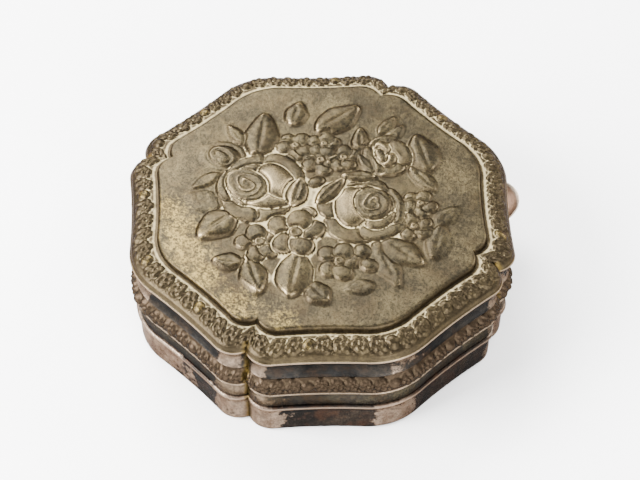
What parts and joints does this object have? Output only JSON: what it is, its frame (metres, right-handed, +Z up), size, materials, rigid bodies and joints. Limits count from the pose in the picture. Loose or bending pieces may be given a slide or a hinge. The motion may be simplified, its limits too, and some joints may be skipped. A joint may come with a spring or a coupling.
{
  "type": "trinket box",
  "caption": "Small octagonal metal trinket box with notched corners, a deep lift-off lid with raised roses and leaves, and a front thumb-piece.",
  "frame": {"origin": "centre of the flat underside, at the level that the box stands on", "axes": "+Z up through the lid's middle, -Y towards the thumb-piece, +X to the right of it; the four round corners lie on the X and Y axes and the four notches between them"},
  "size_m": [0.104, 0.11, 0.0371],
  "materials": {
    "tray_silver_plate": "worn silver plate, grey tarnish with pale pink rubbed patches and small brown pits",
    "band_silver_plate": "worn silver plate with dark tarnish in the floral moulding",
    "cover_silver_plate": "warm khaki tarnished silver plate, dried polish in the recesses",
    "thumb_bare_copper": "plating rubbed through to pinkish copper, pale worn edge"
  },
  "bodies": {
    "root": {"tray": "tray_silver_plate", "lid_band": "band_silver_plate", "lid_cover": "cover_silver_plate", "thumb_piece": "thumb_bare_copper"}
  },
  "joints": []
}
